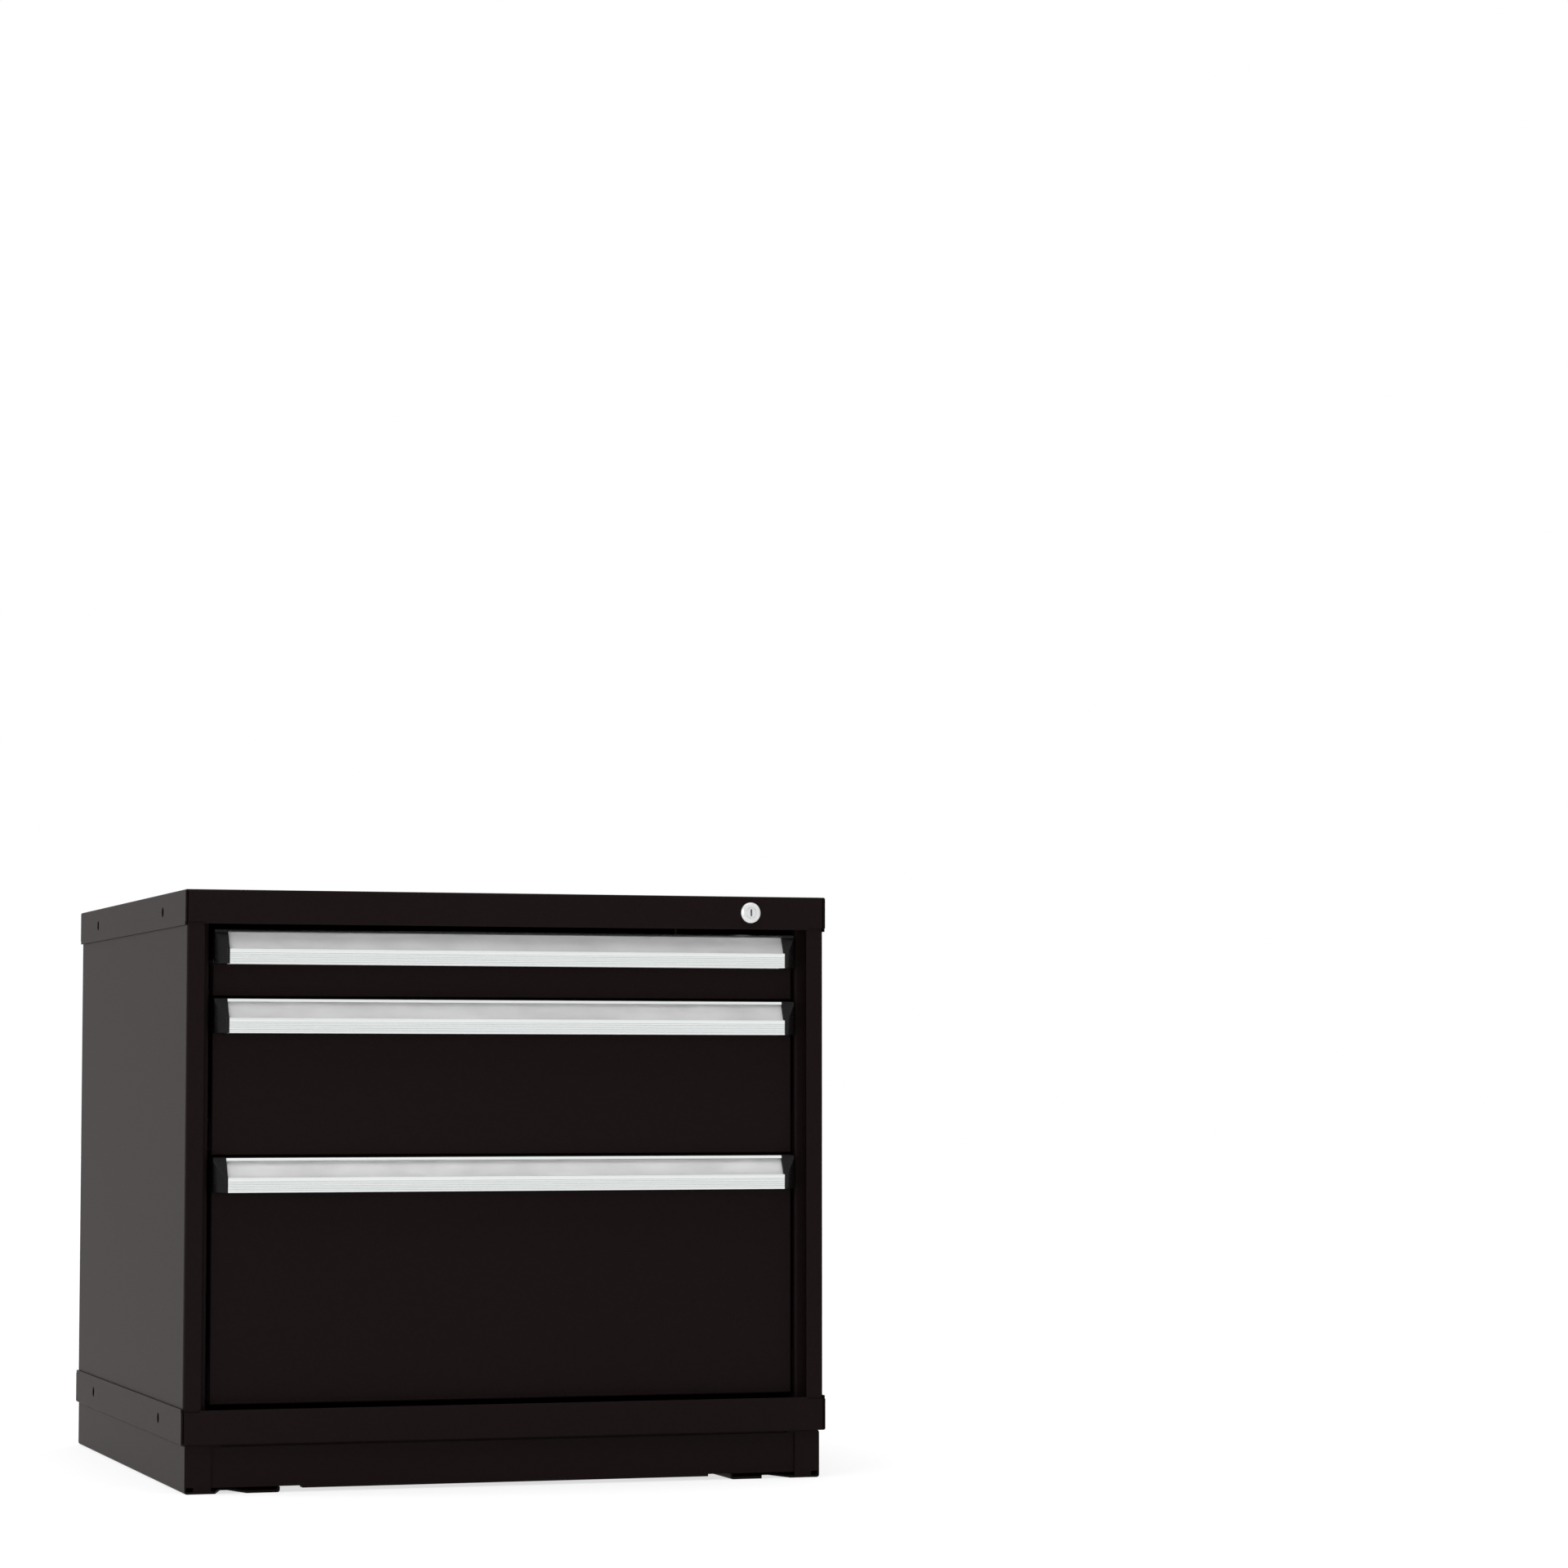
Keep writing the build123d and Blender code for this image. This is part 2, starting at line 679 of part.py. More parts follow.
def make_lock_bar():
    bar_y = (lock_bar_front, lock_bar_back)
    leg_middle = (upright_inner + side_inner) / 2
    leg_x = (leg_middle - lock_bar_width / 2, leg_middle + lock_bar_width / 2)
    arm_z = (pin_rest_z - arm_half_height, pin_rest_z + arm_half_height)
    slot_x = (pin_far_x - cam_pin_radius - cam_pin_play, pin_rest_x + cam_pin_radius + cam_pin_play)
    slot_z = (pin_rest_z - cam_pin_radius - cam_pin_play, pin_rest_z + cam_pin_radius + cam_pin_play)
    leg_bottom = rail_centre(front_spans[-1]) - guide_height
    bar = block(leg_x, bar_y, (leg_bottom, arm_z[1]))
    bar += block((slot_x[0] - arm_end, leg_x[1]), bar_y, arm_z)
    bar -= block(slot_x, bar_y, slot_z)
    guides = []
    guide_x = (upright_inner + upright_sheet + side_bend, side_inner - upright_sheet - side_bend)
    guide_y = (upright_recess + upright_sheet, lock_bar_back + guide_back)
    for span in front_spans:
        z = rail_centre(span)
        bar += block((upright_inner - tab_reach, leg_x[0]), bar_y, (z + tab_low, z + tab_low + tab_height))
        guide_z = (z - guide_height / 2, z + guide_height / 2)
        guide = block(guide_x, guide_y, guide_z)
        window_x = (leg_x[0] - guide_clear, leg_x[1] + guide_clear)
        guide -= block(window_x, (bar_y[0] - guide_clear, bar_y[1] + guide_clear), guide_z)
        guides.append(guide)
    keep("lock_bar", bar)
    keep("lock_bar_guides", group(guides))


make_trays()
make_panels()
make_uprights()
make_base()
make_lock()
make_lock_bar()
for number, drawer_span in enumerate(front_spans, start=1):
    make_drawer(f"drawer_{number}", drawer_span)
    make_slides(f"drawer_{number}", drawer_span)

roller_ratio = 0.5 / (roller_radius / 1000)
lock_ratio = lock_lift / 1000 / radians(cam_turn)
print(f"roller turn {roller_ratio:.3f} rad per m of drawer, lock bar {lock_ratio:.6f} m per rad")
print(f"roller turn at full travel {roller_ratio * drawer_travel / 1000 * 180 / pi:.1f} degrees")

os.makedirs("parts", exist_ok=True)
for node_name, node_shape in nodes.items():
    placed = Pos(0, -depth_centre, 0) * node_shape
    placed.label = node_name
    export_step(placed, f"parts/{node_name}.step")
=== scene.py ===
from math import copysign, pi, radians, sin

import bmesh
import bpy
from mathutils import Matrix, Vector


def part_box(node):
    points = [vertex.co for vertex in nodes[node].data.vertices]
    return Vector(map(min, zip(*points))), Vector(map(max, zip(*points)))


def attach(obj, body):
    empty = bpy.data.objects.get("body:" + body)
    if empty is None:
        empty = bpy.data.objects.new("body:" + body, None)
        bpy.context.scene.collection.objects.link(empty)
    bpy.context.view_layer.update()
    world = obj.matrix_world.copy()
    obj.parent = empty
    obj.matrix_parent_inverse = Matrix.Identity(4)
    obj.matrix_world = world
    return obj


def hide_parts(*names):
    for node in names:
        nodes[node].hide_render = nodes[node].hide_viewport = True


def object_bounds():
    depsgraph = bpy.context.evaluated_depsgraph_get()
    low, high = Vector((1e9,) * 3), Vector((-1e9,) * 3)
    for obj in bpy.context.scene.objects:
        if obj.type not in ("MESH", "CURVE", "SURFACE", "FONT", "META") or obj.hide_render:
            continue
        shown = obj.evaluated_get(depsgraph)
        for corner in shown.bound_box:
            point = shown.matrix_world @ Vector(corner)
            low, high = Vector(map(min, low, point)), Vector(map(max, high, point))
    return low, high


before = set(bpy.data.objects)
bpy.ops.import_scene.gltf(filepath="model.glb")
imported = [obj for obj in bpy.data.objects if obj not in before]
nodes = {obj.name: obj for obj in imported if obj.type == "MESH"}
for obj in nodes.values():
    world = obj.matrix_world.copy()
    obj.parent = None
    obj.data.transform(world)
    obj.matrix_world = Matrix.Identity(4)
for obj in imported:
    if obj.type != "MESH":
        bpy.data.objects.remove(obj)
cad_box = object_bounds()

# Base channels
# Two channels folded from heavy steel sheet carry the cabinet and rest on the floor. Like all the
# steelwork they are powder coated in a warm black, which sets to a fine grain with a low sheen.
mm = 0.001
noise_low, noise_high = 0.3, 0.7
coat_dark = (0.0068, 0.0038, 0.0038, 1.0)
coat_light = (0.0104, 0.0060, 0.0060, 1.0)
coat_gloss = 0.036
coat_roughness = (0.46, 0.52)
coat_grain = 1.1 * mm
coat_grain_depth = 0.12 * mm
coat_grain_strength = 0.4


def new_finish(name):
    """A node material with its tree and its shader."""
    material = bpy.data.materials.new(name)
    material.use_nodes = True
    tree = material.node_tree
    return material, tree, tree.nodes["Principled BSDF"]


def grain(tree, size, detail=2.0, stretch=(1.0, 1.0, 1.0)):
    """Noise fixed to the piece, with features of about that size, longer along a stretched axis."""
    place = tree.nodes.new("ShaderNodeTexCoord")
    scale = tree.nodes.new("ShaderNodeMapping")
    scale.inputs["Scale"].default_value = [1 / (size * s) for s in stretch]
    noise = tree.nodes.new("ShaderNodeTexNoise")
    noise.inputs["Scale"].default_value = 1.0
    noise.inputs["Detail"].default_value = detail
    tree.links.new(place.outputs["Object"], scale.inputs["Vector"])
    tree.links.new(scale.outputs["Vector"], noise.inputs["Vector"])
    return noise.outputs["Fac"]


def spread(tree, pattern, low, high):
    """A noise pattern, which stays near its middle, brought to a range of values."""
    node = tree.nodes.new("ShaderNodeMapRange")
    node.inputs["From Min"].default_value = noise_low
    node.inputs["From Max"].default_value = noise_high
    node.inputs["To Min"].default_value = low
    node.inputs["To Max"].default_value = high
    tree.links.new(pattern, node.inputs["Value"])
    return node.outputs["Result"]


def shades(tree, pattern, first, second):
    """A colour that goes from one shade to another with a noise pattern."""
    node = tree.nodes.new("ShaderNodeMix")
    node.data_type = "RGBA"
    node.inputs["A"].default_value = first
    node.inputs["B"].default_value = second
    tree.links.new(spread(tree, pattern, 0.0, 1.0), node.inputs["Factor"])
    return node.outputs["Result"]


def raise_by(tree, shader, pattern, depth, strength):
    """Relief in the surface that follows a pattern."""
    bump = tree.nodes.new("ShaderNodeBump")
    bump.inputs["Strength"].default_value = strength
    bump.inputs["Distance"].default_value = depth
    tree.links.new(pattern, bump.inputs["Height"])
    tree.links.new(bump.outputs["Normal"], shader.inputs["Normal"])


def powder_coat():
    material, tree, shader = new_finish("black_powder_coat")
    fine = grain(tree, coat_grain)
    tree.links.new(shades(tree, fine, coat_dark, coat_light), shader.inputs["Base Color"])
    tree.links.new(spread(tree, fine, *coat_roughness), shader.inputs["Roughness"])
    shader.inputs["Specular IOR Level"].default_value = coat_gloss
    raise_by(tree, shader, fine, coat_grain_depth, coat_grain_strength)
    return material


def dress(name, material):
    """Gives a carried-over piece its finish."""
    for slot in nodes[name].material_slots:
        slot.material = material


coat = powder_coat()
dress("base_left_channel", coat)
dress("base_right_channel", coat)

# Base covers
# Plates of thinner coated sheet close the base at the front and the rear, behind the channels' end
# flanges. A strip welded on each reaches up to the tray, and a lip is turned below its middle.
dress("base_front_cover", coat)
dress("base_rear_cover", coat)

# Bottom tray and its bolts
# The tray is one folded and coated sheet with a lip on each side, open seams at its corners, and
# holes for bolting cabinets together. Zinc-plated hexagon bolts hold it down on the channels.
patchy_detail = 3.0
zinc_grey = (0.46, 0.47, 0.49, 1.0)
zinc_pale = (0.62, 0.63, 0.64, 1.0)
zinc_spangle = 9 * mm
zinc_spangle_depth = 0.05 * mm
zinc_spangle_strength = 0.2
zinc_haze = 2 * mm
zinc_roughness = (0.30, 0.46)


def zinc_plate():
    material, tree, shader = new_finish("zinc_plate")
    spangle = grain(tree, zinc_spangle, patchy_detail)
    haze = grain(tree, zinc_haze)
    tree.links.new(shades(tree, spangle, zinc_grey, zinc_pale), shader.inputs["Base Color"])
    tree.links.new(spread(tree, haze, *zinc_roughness), shader.inputs["Roughness"])
    shader.inputs["Metallic"].default_value = 1.0
    raise_by(tree, shader, spangle, zinc_spangle_depth, zinc_spangle_strength)
    return material


zinc = zinc_plate()
dress("bottom_tray", coat)
dress("base_bolts", zinc)

# Uprights
# Channels folded from coated sheet stand inside the four corners and carry the cabinet rails. The
# right front one has slots for the tabs of the lock bar.
for corner in ("front_left", "front_right", "rear_left", "rear_right"):
    dress(corner + "_upright", coat)

# Side and back panels
# Each side panel is a coated sheet, folded at both ends. Its front flange makes the narrow post
# beside the drawers, and its rear flange holds the flat back panel.
for name in ("left_side_panel", "right_side_panel", "back_panel"):
    dress(name, coat)

# Top cover
# The cover is a coated sheet in the tray's form, turned over, with open seams at its corners. It
# closes the cabinet from above, and a hole in its front lip takes the lock.
dress("top_cover", coat)

# Lock
# A cam lock with a bright plated barrel and plug. Its hexagon nut clamps it in the cover's lip, and
# its cam lifts a flat steel bar that runs in plastic guides and stops the drawers.
touch = 0.01 * mm
plate_pale = (0.75, 0.75, 0.75, 1.0)
plate_grey = (0.67, 0.67, 0.68, 1.0)
plate_haze = 3 * mm
plate_roughness = (0.26, 0.36)
plastic_gloss = 0.14
plastic_roughness = (0.22, 0.32)
plastic_grain_depth = 0.08 * mm
plastic_grain_strength = 0.35
guide_dark = (0.010, 0.010, 0.010, 1.0)
guide_light = (0.016, 0.016, 0.016, 1.0)
guide_grain = 0.7 * mm
barrel_low, barrel_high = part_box("lock_barrel")
plug_low, plug_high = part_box("lock_plug")
lock_axis = Vector(((barrel_low.x + barrel_high.x) / 2, 0, (barrel_low.z + barrel_high.z) / 2))
lock_steps = 64
lip_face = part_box("top_cover")[0].y
bezel_radius = (barrel_high.x - barrel_low.x) / 2
bezel_face_radius = 9.6 * mm
bezel_edge = 1.9 * mm
bezel_round = 0.8 * mm
rim_slack = 0.1 * mm
barrel_radius = 9.0 * mm
thread_from_lip = 8 * mm
thread_pitch = 2.0 * mm
thread_depth = 0.6 * mm
plug_radius = (plug_high.x - plug_low.x) / 2
plug_play = 0.08 * mm
plug_bore = plug_radius + plug_play
plug_edge = 0.35 * mm
key_slot = Vector((2.2 * mm, 8.4 * mm))
key_slot_depth = 12 * mm
key_slot_squareness = 0.3


def bright_plate():
    material, tree, shader = new_finish("bright_plate")
    haze = grain(tree, plate_haze, patchy_detail)
    tree.links.new(shades(tree, haze, plate_grey, plate_pale), shader.inputs["Base Color"])
    tree.links.new(spread(tree, haze, *plate_roughness), shader.inputs["Roughness"])
    shader.inputs["Metallic"].default_value = 1.0
    return material


def moulded_black(name, dark, light, grain_size):
    material, tree, shader = new_finish(name)
    fine = grain(tree, grain_size)
    shader.inputs["Specular IOR Level"].default_value = plastic_gloss
    tree.links.new(shades(tree, fine, dark, light), shader.inputs["Base Color"])
    tree.links.new(spread(tree, fine, *plastic_roughness), shader.inputs["Roughness"])
    raise_by(tree, shader, fine, plastic_grain_depth, plastic_grain_strength)
    return material


def new_piece(name, mesh, material, smooth_angle=40):
    """Makes an object of a finished mesh, with its creases kept sharp."""
    data = bpy.data.meshes.new(name)
    mesh.to_mesh(data)
    mesh.free()
    data.polygons.foreach_set("use_smooth", [True] * len(data.polygons))
    data.set_sharp_from_angle(angle=radians(smooth_angle))
    data.materials.append(material)
    piece = bpy.data.objects.new(name, data)
    bpy.context.scene.collection.objects.link(piece)
    return piece


def turned(profile, centre, axis, steps):
    """A closed profile of places in space, spun right round an axis."""
    mesh = bmesh.new()
    ring = [mesh.verts.new(place) for place in profile]
    edges = [mesh.edges.new((a, b)) for a, b in zip(ring, ring[1:] + ring[:1])]
    bmesh.ops.spin(
        mesh, geom=ring + edges, cent=centre, axis=axis, angle=2 * pi, steps=steps, use_merge=True)
    bmesh.ops.recalc_face_normals(mesh, faces=mesh.faces)
    return mesh


def round_edges(mesh, edges, radius, segments=3):
    """Rounds the edges over."""
    bmesh.ops.bevel(
        mesh, geom=edges, offset=radius, offset_type="OFFSET", segments=segments, profile=0.5,
        affect="EDGES", material=-1)


def at_lock(radius, y):
    """A place beside the lock's axis, for the profile of the barrel."""
    return lock_axis + Vector((radius, y, 0))


def is_rim(edge, radius):
    """Whether an edge runs round the lock's axis at that radius."""
    first, last = edge.verts
    out = [(v.co - lock_axis - Vector((0, v.co.y, 0))).length for v in edge.verts]
    return abs(first.co.y - last.co.y) < touch and all(abs(r - radius) < rim_slack for r in out)


plate = bright_plate()
face_y = barrel_low.y
end_y = barrel_high.y
profile = [
    at_lock(plug_bore, end_y), at_lock(plug_bore, face_y + plug_edge),
    at_lock(plug_bore + plug_edge, face_y), at_lock(bezel_face_radius, face_y),
    at_lock(bezel_radius, face_y + bezel_edge), at_lock(bezel_radius, lip_face),
    at_lock(barrel_radius, lip_face),
]
thread_start = lip_face + thread_from_lip
for turn in range(int((end_y - thread_start) / thread_pitch)):
    crest_y = thread_start + turn * thread_pitch
    root_y = crest_y + thread_pitch / 2
    profile += [at_lock(barrel_radius, crest_y), at_lock(barrel_radius - thread_depth, root_y)]
profile.append(at_lock(barrel_radius, end_y))
mesh = turned(profile, lock_axis, (0, 1, 0), lock_steps)
rims = [
    e for e in mesh.edges
    if (is_rim(e, bezel_face_radius) or is_rim(e, bezel_radius))
    and all(v.co.y < lip_face - rim_slack for v in e.verts)
]
round_edges(mesh, rims, bezel_round)
barrel = new_piece("lock_bezel_and_barrel", mesh, plate)
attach(barrel, "cabinet")
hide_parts("lock_barrel")

mesh = bmesh.new()
rim = bmesh.ops.create_circle(mesh, segments=lock_steps, radius=plug_radius)["verts"]
slot = bmesh.ops.create_circle(mesh, segments=lock_steps, radius=1.0)["verts"]
for v in slot:
    v.co = Vector((
        copysign(abs(v.co.x) ** key_slot_squareness, v.co.x) * key_slot.x / 2,
        copysign(abs(v.co.y) ** key_slot_squareness, v.co.y) * key_slot.y / 2, 0))
rim_edges = [e for e in mesh.edges if e.verts[0] in rim]
slot_edges = [e for e in mesh.edges if e.verts[0] in slot]
bmesh.ops.bridge_loops(mesh, edges=rim_edges + slot_edges)
for edges, depth in ((slot_edges, key_slot_depth), (rim_edges, plug_high.y - plug_low.y)):
    walls = bmesh.ops.extrude_edge_only(mesh, edges=edges)["geom"]
    end = [v for v in walls if isinstance(v, bmesh.types.BMVert)]
    end_edges = [
        e for e in walls if isinstance(e, bmesh.types.BMEdge) and all(v in end for v in e.verts)]
    bmesh.ops.translate(mesh, verts=end, vec=(0, 0, -depth))
    bmesh.ops.edgeloop_fill(mesh, edges=end_edges)
bmesh.ops.recalc_face_normals(mesh, faces=mesh.faces)
round_edges(mesh, rim_edges, plug_edge)
upright = Matrix.Rotation(pi / 2, 3, "X")
bmesh.ops.rotate(mesh, verts=mesh.verts, cent=(0, 0, 0), matrix=upright)
bmesh.ops.translate(mesh, verts=mesh.verts, vec=lock_axis + Vector((0, plug_low.y, 0)))
plug = new_piece("lock_plug_with_key_slot", mesh, plate)
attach(plug, "lock_core")
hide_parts("lock_plug")

dress("lock_bar_guides", moulded_black("guide_plastic", guide_dark, guide_light, guide_grain))
for name in ("lock_nut", "lock_cam", "lock_bar"):
    dress(name, zinc)

# Slides
# On each side of a drawer a zinc-plated rail on the uprights faces a runner on the drawer, with a
# carriage bar between them. Nylon wheels turn on the bar's stub axles and roll in both channels.
drawer_numbers = (1, 2, 3)
nylon_pale = (0.76, 0.74, 0.68, 1.0)
nylon_grey = (0.66, 0.64, 0.58, 1.0)
nylon_mottle = 4 * mm
nylon_mottle_depth = 0.05 * mm
nylon_mottle_strength = 0.2
nylon_roughness = (0.34, 0.48)
wheel_width = 10 * mm
wheel_bore = 4.06 * mm
hub_radius = 7.0 * mm
tread_inner = 12.0 * mm
tread_round = 1.0 * mm
web_recess = 1.2 * mm
wheel_steps = 48


def nylon():
    material, tree, shader = new_finish("nylon")
    mottle = grain(tree, nylon_mottle, patchy_detail)
    tree.links.new(shades(tree, mottle, nylon_grey, nylon_pale), shader.inputs["Base Color"])
    tree.links.new(spread(tree, mottle, *nylon_roughness), shader.inputs["Roughness"])
    raise_by(tree, shader, mottle, nylon_mottle_depth, nylon_mottle_strength)
    return material


def wheel(mesh, centre, radius):
    """Adds one wheel, turned about the X axis, with a recessed web and cut-off tread edges."""
    side = wheel_width / 2
    half = [
        (wheel_bore, side), (hub_radius, side), (hub_radius, side - web_recess),
        (tread_inner, side - web_recess), (tread_inner, side), (radius - tread_round, side),
        (radius, side - tread_round),
    ]
    section = half + [(r, -x) for r, x in reversed(half)]
    profile = [centre + Vector((x, 0, r)) for r, x in section]
    one = turned(profile, centre, (1, 0, 0), wheel_steps)
    data = bpy.data.meshes.new("wheel")
    one.to_mesh(data)
    one.free()
    mesh.from_mesh(data)
    bpy.data.meshes.remove(data)


wheel_nylon = nylon()
for number in drawer_numbers:
    drawer = f"drawer_{number}"
    for name in ("runners", "cabinet_rails", "carriage_bars"):
        dress(f"{drawer}_{name}", zinc)
    inner_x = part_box(f"{drawer}_front_rollers")[1].x - wheel_width / 2
    outer_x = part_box(f"{drawer}_rear_rollers")[1].x - wheel_width / 2
    rows = (("front", [inner_x]), ("middle", [inner_x, outer_x]), ("rear", [outer_x]))
    for row, places in rows:
        node = f"{drawer}_{row}_rollers"
        low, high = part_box(node)
        middle = (low + high) / 2
        mesh = bmesh.new()
        for x in places:
            for side in (-1, 1):
                wheel(mesh, Vector((side * x, middle.y, middle.z)), (high.z - low.z) / 2)
        piece = new_piece(f"{drawer}_{row}_wheels", mesh, wheel_nylon)
        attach(piece, node)
        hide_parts(node)

# Drawer trays and fronts
# Each tray is folded from one sheet, with rows of slots for dividers in its walls and its top edges
# turned in. A lug on its right wall stops at the lock bar, and a shallow pan is welded on as its
# front. All of it is coated.
tray_sheet = 1.2 * mm
tray_wall_drop = 8.0 * mm
turned_edge = 7 * mm
divider_slot = Vector((3.2 * mm, 12 * mm))
divider_pitch = Vector((17 * mm, 25 * mm))
divider_margin = Vector((16 * mm, 13 * mm))
lug_sheet = 3.0 * mm
lug_gap = 2.0 * mm
lug_rise = 27 * mm
lug_height = 18 * mm
lug_round = 0.6 * mm


def slot_marks(length, axis):
    """Where the edges of a row of slots come along a length, with its two ends."""
    size, pitch, margin = divider_slot[axis], divider_pitch[axis], divider_margin[axis]
    count = int((length - 2 * margin - size) / pitch) + 1
    first = (length - size - (count - 1) * pitch) / 2
    starts = [first + number * pitch for number in range(count)]
    return [0.0] + [start + end for start in starts for end in (0.0, size)] + [length]


def slotted_wall(mesh, corner, along, length, height):
    """Adds an upright wall from a lower corner, with its slots cut out."""
    across, up = slot_marks(length, 0), slot_marks(height, 1)
    columns, rows = len(across) - 1, len(up) - 1
    grid = bmesh.ops.create_grid(mesh, x_segments=columns, y_segments=rows, size=1.0)["verts"]
    reach = max(v.co.x for v in grid)
    holes = []
    for face in {f for v in grid for f in v.link_faces}:
        middle = face.calc_center_median() / reach
        column = int((middle.x + 1) / 2 * columns)
        row = int((middle.y + 1) / 2 * rows)
        if column % 2 and row % 2:
            holes.append(face)
    for v in grid:
        column = round((v.co.x / reach + 1) / 2 * columns)
        row = round((v.co.y / reach + 1) / 2 * rows)
        v.co = corner + along * across[column] + Vector((0, 0, up[row]))
    bmesh.ops.delete(mesh, geom=holes, context="FACES_ONLY")


def edges_at(mesh, height):
    """The level edges at a height."""
    return [e for e in mesh.edges if all(abs(v.co.z - height) < touch for v in e.verts)]


for number in drawer_numbers:
    node = f"drawer_{number}_tray"
    low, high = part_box(node)
    half = -low.x
    rail_low, rail_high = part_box(f"drawer_{number}_runners")
    lug_low = (rail_low.z + rail_high.z) / 2 + lug_rise
    lug_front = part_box("lock_bar")[1].y + lug_gap
    wall_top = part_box(f"drawer_{number}_front")[1].z - tray_wall_drop
    height = wall_top - low.z
    depth = high.y - low.y
    mesh = bmesh.new()
    slotted_wall(mesh, Vector((-half, low.y, low.z)), Vector((1, 0, 0)), 2 * half, height)
    slotted_wall(mesh, Vector((half, low.y, low.z)), Vector((0, 1, 0)), depth, height)
    slotted_wall(mesh, Vector((half, high.y, low.z)), Vector((-1, 0, 0)), 2 * half, height)
    slotted_wall(mesh, Vector((-half, high.y, low.z)), Vector((0, -1, 0)), depth, height)
    bmesh.ops.remove_doubles(mesh, verts=mesh.verts, dist=touch)
    bmesh.ops.edgeloop_fill(mesh, edges=edges_at(mesh, low.z))
    folded = bmesh.ops.extrude_edge_only(mesh, edges=edges_at(mesh, wall_top))["geom"]
    for v in (v for v in folded if isinstance(v, bmesh.types.BMVert)):
        v.co.x = max(-half + turned_edge, min(half - turned_edge, v.co.x))
        v.co.y = max(low.y + turned_edge, min(high.y - turned_edge, v.co.y))
    bmesh.ops.recalc_face_normals(mesh, faces=mesh.faces)
    bmesh.ops.solidify(mesh, geom=mesh.faces, thickness=tray_sheet)
    lug = bmesh.ops.create_cube(mesh, size=1.0)["verts"]
    lug_edges = list({e for v in lug for e in v.link_edges})
    for v in lug:
        v.co = Vector((
            half - tray_sheet if v.co.x < 0 else high.x,
            lug_front + (lug_sheet if v.co.y > 0 else 0),
            lug_low + (lug_height if v.co.z > 0 else 0)))
    round_edges(mesh, lug_edges, lug_round, segments=2)
    piece = new_piece(f"drawer_{number}_slotted_tray", mesh, coat)
    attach(piece, f"drawer_{number}")
    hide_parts(node)
    dress(f"drawer_{number}_front", coat)

# Handles
# Each pull is an aluminium extrusion, sawn to length and satin anodised. Its lip and ledge hold the
# label strip between them, and its ribbed grip leaves room behind for the fingers.
satin_pale = (0.80, 0.82, 0.815, 1.0)
satin_grey = (0.75, 0.77, 0.765, 1.0)
satin_roughness = (0.20, 0.30)
streak_width = 0.8 * mm
streak_stretch = (400.0, 1.0, 1.0)
streak_depth = 0.02 * mm
streak_strength = 0.1
handle_wall = 2.0 * mm
lip_reach = 11.3 * mm
lip_top = 1.1 * mm
lip_lean = 1.45 * mm
lip_drop = 4.4 * mm
lip_wall = 1.5 * mm
seat_reach = 7.0 * mm
seat_lean = 9.3 * mm
seat_fall = 18.7 * mm
seat_slope = seat_lean / seat_fall
grip_top = 23.1 * mm
grip_wall = 2.5 * mm
grip_bead = 4.5 * mm
rib_count = 7
rib_pitch = 1.7 * mm
rib_depth = 0.7 * mm
rib_mouth = 0.7 * mm
rib_rise = 2.4 * mm
extrusion_round = 0.4 * mm
shortest_run = 1 * mm
square_corner = (radians(60), radians(110))


def satin_aluminium():
    material, tree, shader = new_finish("satin_aluminium")
    streaks = grain(tree, streak_width, patchy_detail, streak_stretch)
    tree.links.new(shades(tree, streaks, satin_grey, satin_pale), shader.inputs["Base Color"])
    tree.links.new(spread(tree, streaks, *satin_roughness), shader.inputs["Roughness"])
    shader.inputs["Metallic"].default_value = 1.0
    raise_by(tree, shader, streaks, streak_depth, streak_strength)
    return material


def seat(drop):
    """How far the label seat stands in front of the drawer at a drop below the handle's top."""
    return seat_reach + seat_slope * (drop - lip_drop)


def extruded(low, high, section):
    """Runs a section along a box: how far it reaches out from the drawer, and its drop."""
    mesh = bmesh.new()
    points = [Vector((low.x, high.y - reach, high.z - drop)) for reach, drop in section]
    face = mesh.faces.new([mesh.verts.new(p) for p in points])
    moved = bmesh.ops.extrude_face_region(mesh, geom=[face])["geom"]
    end = [v for v in moved if isinstance(v, bmesh.types.BMVert)]
    bmesh.ops.translate(mesh, verts=end, vec=(high.x - low.x, 0, 0))
    bmesh.ops.recalc_face_normals(mesh, faces=mesh.faces)
    return mesh


